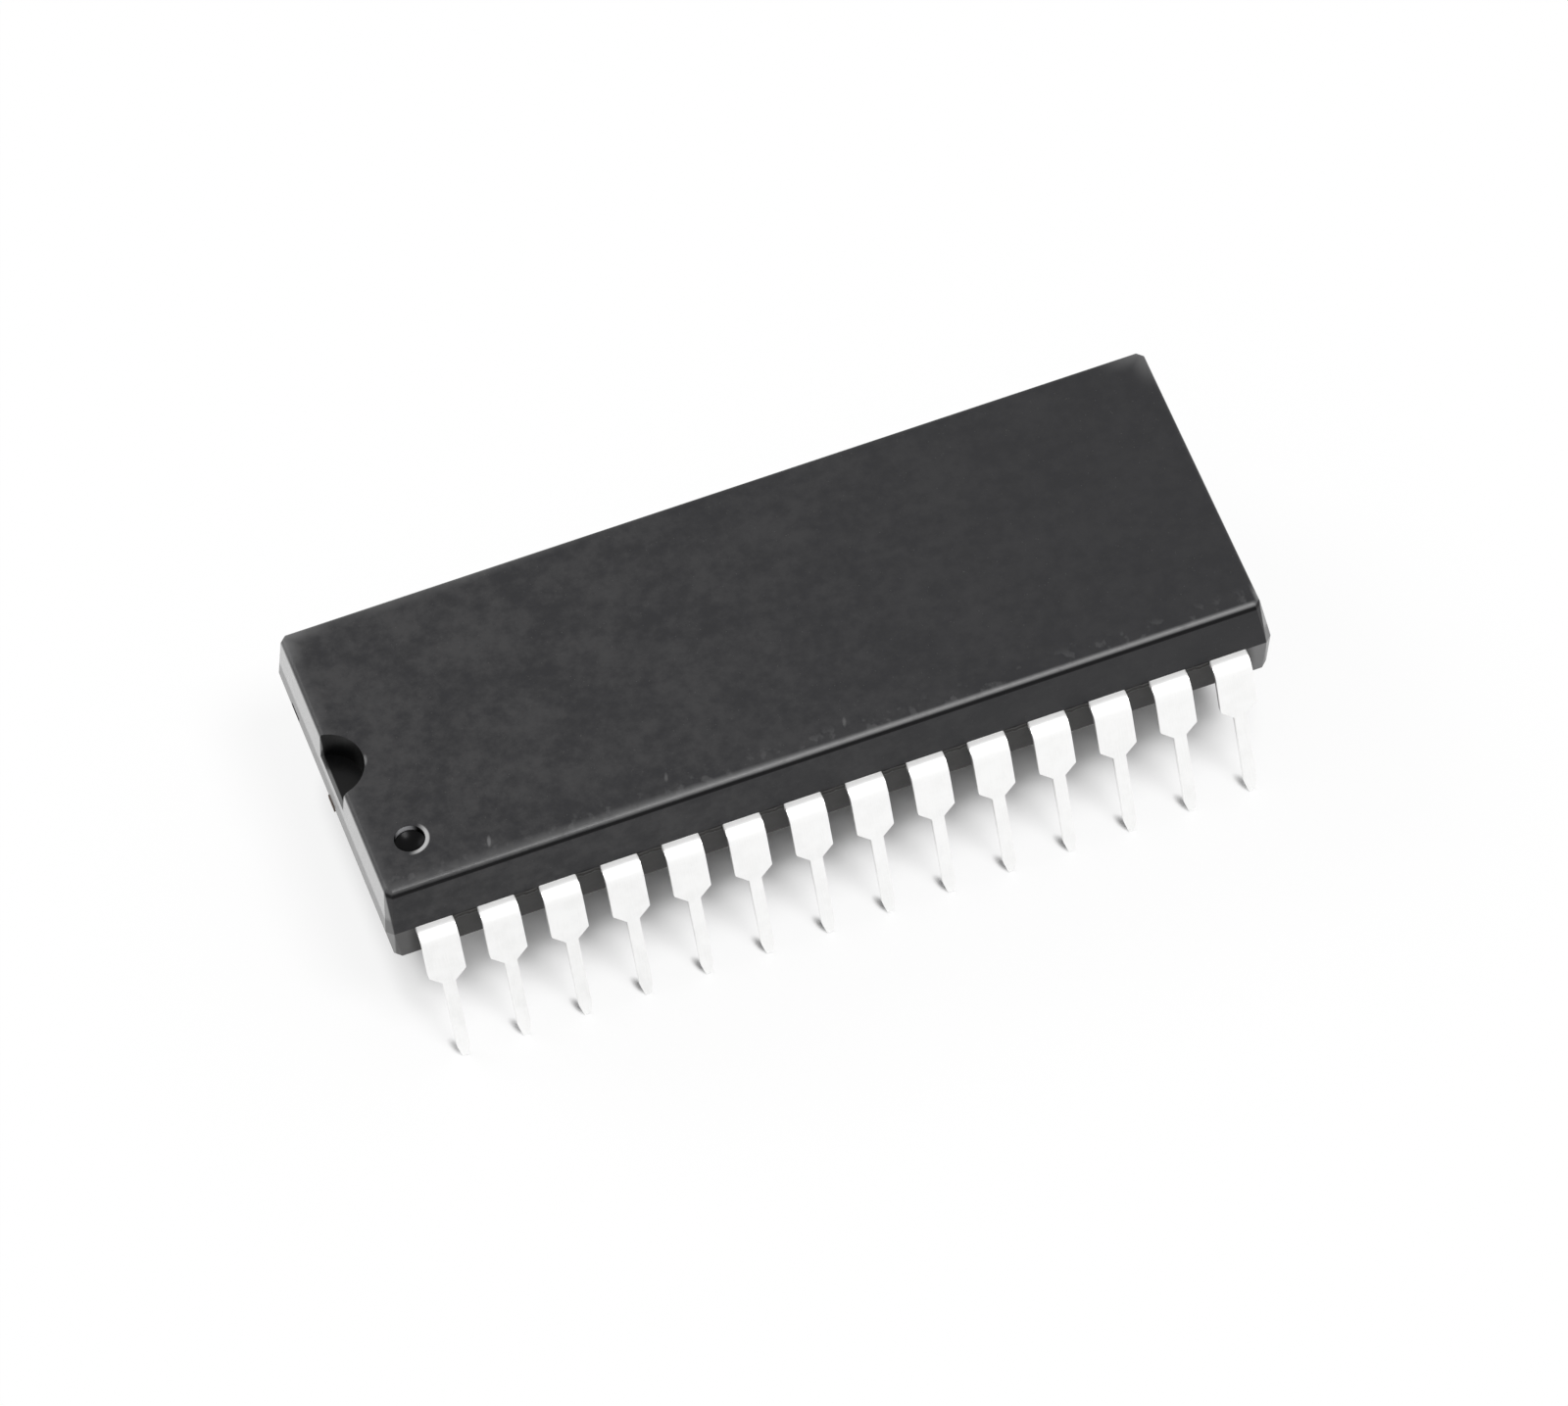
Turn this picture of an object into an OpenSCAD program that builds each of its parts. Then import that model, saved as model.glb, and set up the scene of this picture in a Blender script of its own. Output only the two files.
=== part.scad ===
// Plastic dual in-line package with two rows of pins, in millimetres.
// The origin lies under the middle of the body, on the plane that the pin tips stand on.
// +X runs along the body, away from the notch, +Y runs across it and +Z points up.

/* [Body] */
// Length of the moulding at its parting line
body_l = 36.83; // [36:0.1:40]
// Width of the moulding at its parting line
body_w = 14; // [13.4:0.1:14.1]
// Height of the upper half, from the parting line to the top face
upper_h = 2.35; // [1.6:0.05:2.8]
// Height of the lower half, from the parting line to the underside
lower_h = 2; // [1.4:0.05:2.4]
// Draft of all the mould walls, in degrees
draft = 6.5; // [4:0.5:10]
// Radius of the edges round the top face and the underside
edge_r = 0.24; // [0.1:0.02:0.36]
// Width of the flats that break the four upright corners
corner_flat = 0.26; // [0.1:0.02:0.4]

/* [Marks of the moulding] */
// Radius of the half-round notch at the pin 1 end
notch_r = 1.55; // [1:0.05:2]
// Depth of the notch below the top face
notch_h = 1.2; // [0.6:0.05:1.5]
// Radius of the dimple beside pin 1
dimple_r = 0.62; // [0.4:0.02:0.9]
// Depth of the dimple at its rim
dimple_h = 0.34; // [0.1:0.02:0.5]
// Distance from the end of the moulding to the dimple's centre
dimple_end = 1.98; // [1.7:0.05:3]
// Distance from the side of the moulding to the dimple's centre
dimple_side = 2.45; // [1.6:0.05:3.5]
// Radius of the ejector pin marks
ejector_r = 1.3; // [0.8:0.05:2]
// Depth of the ejector pin marks in the underside
ejector_h = 0.06; // [0.03:0.01:0.15]
// Distance between the two ejector pin marks
ejector_span = 23; // [16:0.5:26]
// Width of the scar where the mould gate was broken off
gate_w = 0.9; // [0.5:0.05:1.4]
// Height of the gate scar
gate_h = 0.36; // [0.2:0.02:0.5]
// Depth of the gate scar
gate_in = 0.14; // [0.06:0.02:0.25]
// Distance of the gate scar from the middle of the end
gate_off = 4.6; // [3:0.1:5.5]

/* [Leads outside] */
// Distance between neighbouring leads
pitch = 2.54; // [2.4:0.02:2.6]
// Distance between the two rows when the legs are pressed upright
row_span = 15.24; // [15.24:0.02:15.6]
// Thickness of the lead frame
lead_t = 0.25; // [0.2:0.01:0.3]
// Width of a lead's shoulder
shoulder_w = 1.52; // [1.2:0.02:1.7]
// Width of the pin below the shoulder
pin_w = 0.5; // [0.4:0.02:0.6]
// Length of the sloped step from shoulder to pin
step_h = 0.5; // [0.3:0.05:0.7]
// Width of the pin's blunt tip
tip_w = 0.24; // [0.16:0.02:0.34]
// Length of the chamfers at the tip
tip_h = 0.55; // [0.3:0.05:0.8]
// Inner radius of the bend beside the body
bend_r = 0.4; // [0.3:0.02:0.4]
// Outward lean of the legs, in degrees
splay = 9; // [0:0.5:10]
// Height from the pin tips to the seating plane, where the shoulders end
pin_h = 4.2; // [2.9:0.1:5]
// Gap between the seating plane and the underside of the body
stand_off = 0.75; // [0.4:0.05:1.2]

/* [Lead frame inside] */
// Length of the wide pad that anchors each lead in the moulding
anchor_l = 0.95; // [0.8:0.05:1]
// Radius of the locking hole in the pad
lock_r = 0.26; // [0.15:0.01:0.3]
// Width of a finger where it leaves the pad
finger_w = 0.8; // [0.6:0.02:0.86]
// Width of a finger at its inner end
finger_tip_w = 0.3; // [0.2:0.02:0.34]
// Distance from the side of the moulding to the turn of the middle fingers
turn_in = 1.4; // [1.35:0.02:1.5]
// How much further in each of the outer fingers turns
turn_step = 1.15; // [1.1:0.02:1.2]
// Distance between the finger ends along the paddle's long sides
tip_pitch = 1.25; // [1.2:0.01:1.3]
// Distance between the finger ends along the paddle's short sides
side_pitch = 1.2; // [1.1:0.01:1.22]
// Distance from the middle of the frame to the first finger beside the tie bar
side_first = 1; // [0.9:0.01:1.04]
// Gap between the paddle and the finger ends
finger_gap = 0.5; // [0.4:0.02:0.6]
// Length of the die paddle
paddle_l = 10.2; // [9.8:0.1:10.4]
// Width of the die paddle
paddle_w = 7.4; // [7:0.1:7.5]
// Width of the tie bars
tie_w = 0.7; // [0.4:0.05:0.8]
// Run of the slope that sets the paddle down
tie_slope = 0.6; // [0.4:0.05:1]
// How far the cut ends of the tie bars stand proud
tie_proud = 0.04; // [0.02:0.01:0.1]

/* [Chip inside] */
// Length of the silicon die
die_l = 6.6; // [5:0.1:7.4]
// Width of the silicon die
die_w = 4.8; // [4:0.1:5.4]
// Thickness of the silicon die
die_t = 0.32; // [0.25:0.01:0.4]
// Thickness of the layer that holds the die down
attach_t = 0.03; // [0.02:0.01:0.05]
// Width of that layer's border round the die
attach_rim = 0.15; // [0.05:0.01:0.25]
// Distance from the die's edge to its bond pads
pad_in = 0.2; // [0.12:0.01:0.4]
// Share of the fingers' spacing that the bond pads keep
pad_spread = 0.62; // [0.5:0.01:0.66]
// Diameter of the bond wires
wire_d = 0.04; // [0.03:0.01:0.06]
// Height of the wire loops above the die
wire_loop = 0.45; // [0.3:0.05:0.7]
// Distance from a finger's end to its wire
bond_in = 0.25; // [0.15:0.01:0.4]

/* [Hidden] */
per_side = 14;
long_tips = 4;
arc_steps = 6;
cut = 1;
function two_digits(n) = str(n < 10 ? "0" : "", n);
function lead_name(n) = str("lead_", two_digits(n));
$fn = 48;

body_colour = "#3c3c3e";
tin_colour = "#e6e6e3";
copper_colour = "#b9764a";
epoxy_colour = "#c9c9c4";
silicon_colour = "#5d6270";
gold_colour = "#d9a441";

under_z = pin_h + stand_off;
part_z = under_z + lower_h;
top_z = part_z + upper_h;
frame_z = part_z - lead_t;
bend_y = row_span / 2 - lead_t / 2 - bend_r;
bend_z = frame_z - bend_r;
leg_l = (bend_z + bend_r * sin(splay)) / cos(splay);
shoulder_l = leg_l - pin_h / cos(splay);
ring_x = paddle_l / 2 + finger_gap;
ring_y = paddle_w / 2 + finger_gap;
paddle_z = frame_z - die_t - attach_t;
paddle_top = paddle_z + lead_t;

// Leads count from the notch along the front row, then back along the rear row.
function row_place(n) = n <= per_side ? n : 2 * per_side + 1 - n;
function lead_x(n) = (row_place(n) - (per_side + 1) / 2) * pitch;
// Rank 1 is next to the middle of the row, and the highest rank is at its ends.
function rank(n) = abs(row_place(n) - (per_side + 1) / 2) + 0.5;
function along(n) = sign(lead_x(n));
function on_long_side(n) = rank(n) <= long_tips;

function finger_turn(n) =
  [lead_x(n), turn_in - body_w / 2 + turn_step * max(0, rank(n) - long_tips)];
function finger_end(n) = on_long_side(n)
  ? [along(n) * (rank(n) - 0.5) * tip_pitch, -ring_y]
  : [along(n) * ring_x, -side_first - (per_side / 2 - rank(n)) * side_pitch];
function bond_pad(n) = on_long_side(n)
  ? [finger_end(n).x * pad_spread, pad_in - die_w / 2]
  : [along(n) * (die_l / 2 - pad_in), finger_end(n).y * pad_spread];
function bond_spot(n) =
  finger_end(n) + unit(finger_turn(n) - finger_end(n)) * bond_in;

function unit(v) = v / norm(v);
function turned(v) = [-v.y, v.x];
function cross_of(a, b) = a.x * b.y - a.y * b.x;

// Points of the arc that rounds corner p between its neighbours a and b
function rounded(a, p, b, r) =
  let (to_a = unit(a - p), to_b = unit(b - p))
  let (half = acos(to_a * to_b) / 2)
  let (centre = p + unit(to_a + to_b) * r / sin(half))
  let (first = p + to_a * r / tan(half) - centre)
  let (start = atan2(first.y, first.x))
  let (sweep = (180 - 2 * half) * sign(cross_of(p - a, b - p)))
  [for (i = [0:arc_steps]) let (w = start + sweep * i / arc_steps)
    centre + r * [cos(w), sin(w)]];

// Section of the drafted block, of a given half width at the parting line.
// The lean scales the draft for a section taken across the corners.
module section(half, lean = 1) {
  up_in = upper_h * tan(draft) * lean;
  low_in = lower_h * tan(draft) * lean;
  up_r = [half - up_in, upper_h];
  up_l = [up_in - half, upper_h];
  low_l = [low_in - half, -lower_h];
  low_r = [half - low_in, -lower_h];
  side_r = [half, 0];
  side_l = [-half, 0];
  polygon(concat([side_r], rounded(side_r, up_r, up_l, edge_r),
    rounded(up_r, up_l, side_l, edge_r), [side_l],
    rounded(side_l, low_l, low_r, edge_r), rounded(low_l, low_r, side_r, edge_r)));
}

// The section swept straight across a heading in the ground plane
module swept(heading, half, run, lean = 1) {
  rotate([0, 0, heading]) rotate([90, 0, 0])
    linear_extrude(run, center = true) section(half, lean);
}

module block() {
  run = body_l + body_w;
  corner_half = (run / 2 - corner_flat) / sqrt(2);
  translate([0, 0, part_z]) intersection() {
    swept(0, body_l / 2, run);
    swept(90, body_w / 2, run);
    swept(45, corner_half, run, sqrt(2));
    swept(-45, corner_half, run, sqrt(2));
  }
}

module notch() {
  translate([-body_l / 2, 0, top_z - notch_h])
    cylinder(h = notch_h + cut, r1 = notch_r - notch_h * tan(draft),
      r2 = notch_r + cut * tan(draft));
}

// A shallow dish with an upright rim
module dimple() {
  sag = dimple_r / 3;
  ball_r = (dimple_r * dimple_r + sag * sag) / (2 * sag);
  translate([dimple_end - body_l / 2, dimple_side - body_w / 2, top_z - dimple_h]) {
    cylinder(h = dimple_h + cut, r = dimple_r);
    intersection() {
      translate([0, 0, ball_r - sag]) sphere(ball_r);
      translate([0, 0, -sag]) cylinder(h = sag + dimple_h / 2, r = dimple_r);
    }
  }
}

module ejector_marks() {
  for (side = [-1, 1]) translate([side * ejector_span / 2, 0, under_z - cut])
    cylinder(h = ejector_h + cut, r = ejector_r);
}

module gate_scar() {
  translate([-body_l / 2 - cut, gate_off - gate_w / 2, part_z - gate_h / 2])
    cube([gate_in + cut, gate_w, gate_h]);
}

// A finger of even width up to its turn that tapers to its end, with a mitred turn
module finger(from, turn, end) {
  side_a = turned(unit(turn - from));
  side_b = turned(unit(end - turn));
  mitre = (side_a + side_b) / (1 + side_a * side_b);
  polygon([from + side_a * finger_w / 2, turn + mitre * finger_w / 2,
    end + side_b * finger_tip_w / 2, end - side_b * finger_tip_w / 2,
    turn - mitre * finger_w / 2, from - side_a * finger_w / 2]);
}

// The flat part of a lead of the front row, from the bend in to the finger's end
module lead_flat(n) {
  x = lead_x(n);
  pad_y = anchor_l - body_w / 2;
  translate([0, 0, frame_z]) linear_extrude(lead_t) difference() {
    union() {
      translate([x - shoulder_w / 2, -bend_y]) square([shoulder_w, bend_y + pad_y]);
      finger([x, pad_y - anchor_l / 8], finger_turn(n), finger_end(n));
    }
    translate([x, pad_y - anchor_l / 2]) circle(lock_r);
  }
}

module lead_bend(n) {
  translate([lead_x(n), -bend_y, bend_z]) rotate([90, 0, -90]) rotate([0, 0, splay])
    rotate_extrude(angle = 90 - splay)
      translate([bend_r, -shoulder_w / 2]) square([lead_t, shoulder_w]);
}

// The leg seen square on: shoulder, sloped step, pin and pointed tip
module lead_leg(n) {
  half = [for (side = [1, -1]) [
    [side * shoulder_w / 2, 0],
    [side * shoulder_w / 2, step_h - shoulder_l],
    [side * pin_w / 2, -shoulder_l],
    [side * pin_w / 2, tip_h - leg_l],
    [side * tip_w / 2, -leg_l]
  ]];
  translate([lead_x(n), -bend_y, bend_z]) rotate([90 - splay, 0, 0])
    translate([0, 0, bend_r]) linear_extrude(lead_t)
      polygon(concat(half[0], [for (i = [4:-1:0]) half[1][i]]));
}

// Rear leads are the front ones mirrored.
module in_row(n) {
  mirror([0, n <= per_side ? 0 : 1, 0]) children();
}

module lead(n) {
  color(tin_colour) in_row(n) {
    lead_flat(n);
    lead_bend(n);
    lead_leg(n);
  }
}

// The tie bars rise from the paddle to the level of the leads and end at the body's ends.
module paddle_shape() {
  rise = frame_z - paddle_z;
  foot = paddle_l / 2;
  tail = body_l / 2 + tie_proud;
  translate([-foot, -paddle_w / 2, paddle_z]) cube([paddle_l, paddle_w, lead_t]);
  for (turn = [0, 180]) rotate([0, 0, turn])
    translate([0, tie_w / 2, paddle_z]) rotate([90, 0, 0]) linear_extrude(tie_w)
      polygon([[foot - tie_slope, 0], [foot, 0], [foot + tie_slope, rise], [tail, rise],
        [tail, rise + lead_t], [foot + tie_slope, rise + lead_t], [foot, lead_t],
        [foot - tie_slope, lead_t]]);
}

module attach_shape() {
  size = [die_l + 2 * attach_rim, die_w + 2 * attach_rim, attach_t];
  translate([-size.x / 2, -size.y / 2, paddle_top]) cube(size);
}

module die_shape() {
  translate([-die_l / 2, -die_w / 2, paddle_top + attach_t]) cube([die_l, die_w, die_t]);
}

// A bond wire is the arc of a ring that stands on the die and on its finger.
module wire(n) {
  from = bond_pad(n);
  span = bond_spot(n) - from;
  chord = norm(span);
  ring_r = (chord * chord / 4 + wire_loop * wire_loop) / (2 * wire_loop);
  reach = chord + 2 * wire_loop;
  middle = from + span / 2;
  in_row(n) translate([middle.x, middle.y, part_z])
    rotate([0, 0, atan2(span.y, span.x)]) intersection() {
      translate([0, 0, wire_loop - ring_r]) rotate([90, 0, 0])
        rotate_extrude(angle = 180) translate([ring_r, 0]) circle(d = wire_d, $fn = 16);
      translate([-reach / 2, -reach / 2, 0]) cube(reach);
    }
}

// The moulding fills every space round the lead frame, the die and the wires.
module moulded_body() {
  color(body_colour) difference() {
    block();
    notch();
    dimple();
    ejector_marks();
    gate_scar();
    for (n = [1:2 * per_side]) in_row(n) {
      lead_flat(n);
      lead_bend(n);
    }
    paddle_shape();
    attach_shape();
    die_shape();
    for (n = [1:2 * per_side]) wire(n);
  }
}

module die_paddle() {
  color(copper_colour) paddle_shape();
}

module die_attach() {
  color(epoxy_colour) attach_shape();
}

module silicon_die() {
  color(silicon_colour) die_shape();
}

module bond_wires() {
  color(gold_colour) for (n = [1:2 * per_side]) wire(n);
}

moulded_body();
for (n = [1:2 * per_side]) lead(n);
die_paddle();
die_attach();
silicon_die();
bond_wires();
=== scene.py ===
import math
import bpy
import numpy as np
from mathutils import Matrix, Vector


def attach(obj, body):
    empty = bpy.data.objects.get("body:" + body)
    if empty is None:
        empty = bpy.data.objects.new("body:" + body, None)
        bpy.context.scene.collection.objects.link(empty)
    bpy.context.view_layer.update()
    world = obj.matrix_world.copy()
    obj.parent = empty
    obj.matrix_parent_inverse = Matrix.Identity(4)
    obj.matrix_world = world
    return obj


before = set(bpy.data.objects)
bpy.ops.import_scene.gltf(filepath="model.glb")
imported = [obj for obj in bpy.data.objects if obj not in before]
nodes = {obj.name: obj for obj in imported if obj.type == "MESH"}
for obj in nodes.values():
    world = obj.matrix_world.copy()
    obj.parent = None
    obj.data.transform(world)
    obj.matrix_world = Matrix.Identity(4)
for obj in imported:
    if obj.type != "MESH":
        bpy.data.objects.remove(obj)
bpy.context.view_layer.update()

mm = 0.001
print("frame loaded:", len(nodes), "solids")


# A small way to write shader maths
# A Wire is one output socket; sums, products and comparisons on it add Math nodes.
class Wire:
    def __init__(self, bench, socket):
        self.bench = bench
        self.socket = socket

    def maths(self, operation, *values):
        return self.bench.add("ShaderNodeMath", {"operation": operation}, dict(enumerate(values)))

    def __add__(self, other):
        return self.maths("ADD", self, other)

    def __radd__(self, other):
        return self.maths("ADD", other, self)

    def __sub__(self, other):
        return self.maths("SUBTRACT", self, other)

    def __rsub__(self, other):
        return self.maths("SUBTRACT", other, self)

    def __mul__(self, other):
        return self.maths("MULTIPLY", self, other)

    def __rmul__(self, other):
        return self.maths("MULTIPLY", other, self)

    def __truediv__(self, other):
        return self.maths("DIVIDE", self, other)

    def __rtruediv__(self, other):
        return self.maths("DIVIDE", other, self)

    def __pow__(self, other):
        return self.maths("POWER", self, other)

    def __rpow__(self, other):
        return self.maths("POWER", other, self)

    def __abs__(self):
        return self.maths("ABSOLUTE", self)

    def __gt__(self, other):
        return self.maths("GREATER_THAN", self, other)

    def __lt__(self, other):
        return self.maths("LESS_THAN", self, other)

    def least(self, other):
        return self.maths("MINIMUM", self, other)

    def most(self, other):
        return self.maths("MAXIMUM", self, other)

    def fraction(self):
        return self.maths("FRACT", self)


# A Bench holds the node tree of one material or world.
class Bench:
    def __init__(self, owner):
        owner.use_nodes = True
        self.owner = owner
        self.tree = owner.node_tree
        self.tree.nodes.clear()

    # Any node: its type, its settings, then the values or links of its sockets.
    def add(self, kind, settings=None, inputs=None, output=0):
        made = self.tree.nodes.new(kind)
        for name, value in (settings or {}).items():
            if name == "stops":
                self.setStops(made.color_ramp, value)
            else:
                setattr(made, name, value)
        for name, value in (inputs or {}).items():
            if isinstance(value, Wire):
                self.tree.links.new(value.socket, made.inputs[name])
            else:
                made.inputs[name].default_value = value
        return Wire(self, made.outputs[output]) if made.outputs else made

    def setStops(self, ramp, stops):
        while len(ramp.elements) < len(stops):
            ramp.elements.new(0.5)
        for element, (place, colour) in zip(ramp.elements, stops):
            element.position = place
            element.color = colour

    # Object coordinates in millimetres
    def place(self):
        spot = self.add("ShaderNodeTexCoord", output="Object")
        return self.scaled(spot, (1000, 1000, 1000))

    def scaled(self, vector, by):
        return self.add("ShaderNodeVectorMath", {"operation": "MULTIPLY"}, {0: vector, 1: by})

    def axes(self, vector):
        return [self.add("ShaderNodeSeparateXYZ", None, {0: vector}, i) for i in range(3)]

    def noise(self, vector, scale, detail, roughness):
        return self.add("ShaderNodeTexNoise", {"noise_dimensions": "3D"},
                        {"Vector": vector, "Scale": scale, "Detail": detail, "Roughness": roughness})

    def cells(self, vector, scale, output="Distance"):
        return self.add("ShaderNodeTexVoronoi", {"feature": "F1"},
                        {"Vector": vector, "Scale": scale}, output)

    # 0 at low and 1 at high with soft ends; low may be the larger
    def fade(self, value, low, high, start=0.0, end=1.0):
        return self.add("ShaderNodeMapRange", {"interpolation_type": "SMOOTHSTEP", "clamp": True},
                        {0: value, 1: low, 2: high, 3: start, 4: end})

    # the same, with low and high given as steps from one place
    def fadeAt(self, value, place, steps):
        return self.fade(value, *(place + step for step in steps))

    def blend(self, share, first, second):
        return self.add("ShaderNodeMix", {"data_type": "RGBA", "clamp_factor": True},
                        {0: share, 6: first, 7: second}, 2)

    # high is in mm
    def bump(self, height, high):
        return self.add("ShaderNodeBump", None,
                        {"Height": height, "Distance": high * mm, "Strength": 1.0})

    def finish(self, inputs):
        shader = self.add("ShaderNodeBsdfPrincipled", None, inputs)
        self.add("ShaderNodeOutputMaterial", None, {"Surface": shader})
        return self.owner


def newBench(name):
    return Bench(bpy.data.materials.new(name))


def grey(value):
    return (value, value, value, 1.0)


# Root of the sum of two squares
def distance(first, second):
    return (first ** 2 + second ** 2) ** 0.5


# 0 in the middle of a leaning ellipse and 1 on its outline: the way along it and the way
# across it, each over its half size, and then their distance
def ellipse(aside, ahead, lean, halfLong, halfWide, middle=0.0):
    along = (aside * lean[0] + ahead * lean[1] - middle) / halfLong
    across = (aside * lean[1] - ahead * lean[0]) / halfWide
    return distance(along, across)


# Camera
cameraPlan = {
    "aim": (0.0, 0.0, 5.5),   # mm, a point inside the body
    "azimuth": -13.0,         # degrees, towards the notched end
    "elevation": 54.0,
    "roll": 7.907,
    "distance": 500.0,        # mm
    "across": -0.3049,        # mm, sideways and downward shift of the aim in the picture
    "down": -1.0892,
    "lens": 290.61,           # mm
    "sensor": 36.0,
    "clip": (0.01, 20.0),     # m
}


# Looks at the aim from its azimuth and elevation, is rolled about its own axis and shifted
def makeCamera(plan):
    azimuth, elevation, roll = (math.radians(plan[k]) for k in ("azimuth", "elevation", "roll"))
    back = Vector((math.sin(azimuth) * math.cos(elevation),
                   -math.cos(azimuth) * math.cos(elevation), math.sin(elevation)))
    right = Vector((math.cos(azimuth), math.sin(azimuth), 0.0))
    down = (-back).cross(right)
    turnedRight = right * math.cos(roll) + down * math.sin(roll)
    turnedDown = down * math.cos(roll) - right * math.sin(roll)
    spot = (Vector(plan["aim"]) + back * plan["distance"] - turnedRight * plan["across"]
            - turnedDown * plan["down"])
    data = bpy.data.cameras.new("camera")
    data.sensor_width = plan["sensor"]
    data.lens = plan["lens"]
    data.clip_start, data.clip_end = plan["clip"]
    camera = bpy.data.objects.new("camera", data)
    bpy.context.scene.collection.objects.link(camera)
    turn = Matrix((turnedRight, -turnedDown, back)).transposed().to_4x4()
    camera.matrix_world = Matrix.Translation(spot * mm) @ turn
    bpy.context.scene.camera = camera


makeCamera(cameraPlan)
print("camera set")


# Floor, surroundings and lamps
studio = {
    "floorSize": 3.0,              # m
    "floorColour": 0.97,
    "under": (16.2, 4.3),          # mm, half size of the floor below the body that keeps its shade
    # from there outwards: mm at its start and end, and how much the share of plain white grows
    "glowSteps": ((0.0, 1.7, 0.50), (1.2, 3.4, 0.36), (8.0, 26.0, 0.125)),
    "glowEnds": 1.5,               # it grows so much faster beyond the two ends
    "tips": (2.54, 8.62, 17.5),    # mm, their spacing, their place across, the end of their row
    "tipShade": (0.32, 0.80, 0.30),    # mm, middle, half length and half width of their shade
    "tipLean": (-0.42, 0.91),      # its direction
    "tipSoft": (1.0, 0.2),         # share of that size, where it ends and where it is full
    "surroundings": (0.14, 0.53),  # light of the surroundings, from the horizon and from above
    "horizonTo": 0.70,             # height of a direction, where the light from above begins
    "keyFrom": (0.22, -0.42, 0.88),
    "keySpread": 17.0,             # degrees, softness of its shadows
    "keyStrength": 1.60,
    "sideFrom": (-0.58, 0.58, 0.57),
    "sideSpread": 30.0,
    "sideStrength": 0.60,
}


# 1 for rays that should find a plain white surrounding: seen, mirrored or let through
def plainRays(bench):
    rays = [bench.add("ShaderNodeLightPath", None, None, name)
            for name in ("Is Camera Ray", "Is Glossy Ray", "Is Transmission Ray")]
    return rays[0].most(rays[1]).most(rays[2])


def makeSurroundings(plan):
    world = bpy.data.worlds.new("surroundings")
    bpy.context.scene.world = world
    bench = Bench(world)
    height = bench.axes(bench.add("ShaderNodeTexCoord", output="Generated"))[2]
    light = bench.fade(height, 0.0, plan["horizonTo"], *plan["surroundings"])
    strength = plainRays(bench) * (1 - light) + light
    sky = bench.add("ShaderNodeBackground", None, {"Color": grey(1.0), "Strength": strength})
    bench.add("ShaderNodeOutputWorld", None, {"Surface": sky})


# Share of plain white in the paper: none below the body, growing outwards in soft steps, and
# none in a narrow ellipse that starts at each pin's tip
def glowOfFloor(bench, plan):
    x, y = bench.axes(bench.place())[:2]
    outX, outY = ((abs(way) - half).most(0.0) for way, half in zip((x, y), plan["under"]))
    out = distance(outX * plan["glowEnds"], outY)
    glow = 0.0
    for start, end, growth in plan["glowSteps"]:
        glow = bench.fade(out, start, end, 0.0, growth) + glow
    spacing, tipY, rowEnd = plan["tips"]
    middle, halfLong, halfWide = plan["tipShade"]
    aside = ((x / spacing).fraction() - 0.5) * spacing
    ahead = y - y.maths("SIGN", y) * tipY
    outline = ellipse(aside, ahead, plan["tipLean"], halfLong, halfWide, middle)
    nearTip = bench.fade(outline, *plan["tipSoft"]) * (abs(x) < rowEnd)
    return glow * (1 - nearTip)


# White paper that keeps the object's shadow beside it and is plain white further out
def makeFloor(plan):
    half = plan["floorSize"] / 2
    mesh = bpy.data.meshes.new("floor")
    corners = [(-half, -half, 0), (half, -half, 0), (half, half, 0), (-half, half, 0)]
    mesh.from_pydata(corners, [], [(0, 1, 2, 3)])
    floor = bpy.data.objects.new("floor", mesh)
    bpy.context.scene.collection.objects.link(floor)
    bench = newBench("floor white")
    share = plainRays(bench) * glowOfFloor(bench, plan)
    paper = bench.add("ShaderNodeBsdfDiffuse", None, {"Color": grey(plan["floorColour"])})
    glow = bench.add("ShaderNodeEmission", None, {"Color": grey(1.0), "Strength": 1.0})
    fromAbove = bench.add("ShaderNodeMixShader", None, {0: share, 1: paper, 2: glow})
    # from below the paper is clear, so that the underside can be looked at
    below = bench.add("ShaderNodeNewGeometry", output="Backfacing")
    clear = bench.add("ShaderNodeBsdfTransparent")
    mixed = bench.add("ShaderNodeMixShader", None, {0: below, 1: fromAbove, 2: clear})
    bench.add("ShaderNodeOutputMaterial", None, {"Surface": mixed})
    mesh.materials.append(bench.owner)


# A lamp so far away that it lights all places alike; its spread softens the shadows
def makeLamp(name, towards, spread, strength):
    data = bpy.data.lights.new(name, "SUN")
    data.angle = math.radians(spread)
    data.energy = strength
    lamp = bpy.data.objects.new(name, data)
    lamp.rotation_mode = "QUATERNION"
    lamp.rotation_quaternion = Vector(towards).to_track_quat("Z", "Y")
    bpy.context.scene.collection.objects.link(lamp)


makeSurroundings(studio)
makeFloor(studio)
makeLamp("key lamp", studio["keyFrom"], studio["keySpread"], studio["keyStrength"])
makeLamp("side lamp", studio["sideFrom"], studio["sideSpread"], studio["sideStrength"])
bpy.context.scene.view_settings.view_transform = "Standard"
print("floor, surroundings and lamps set")


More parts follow.
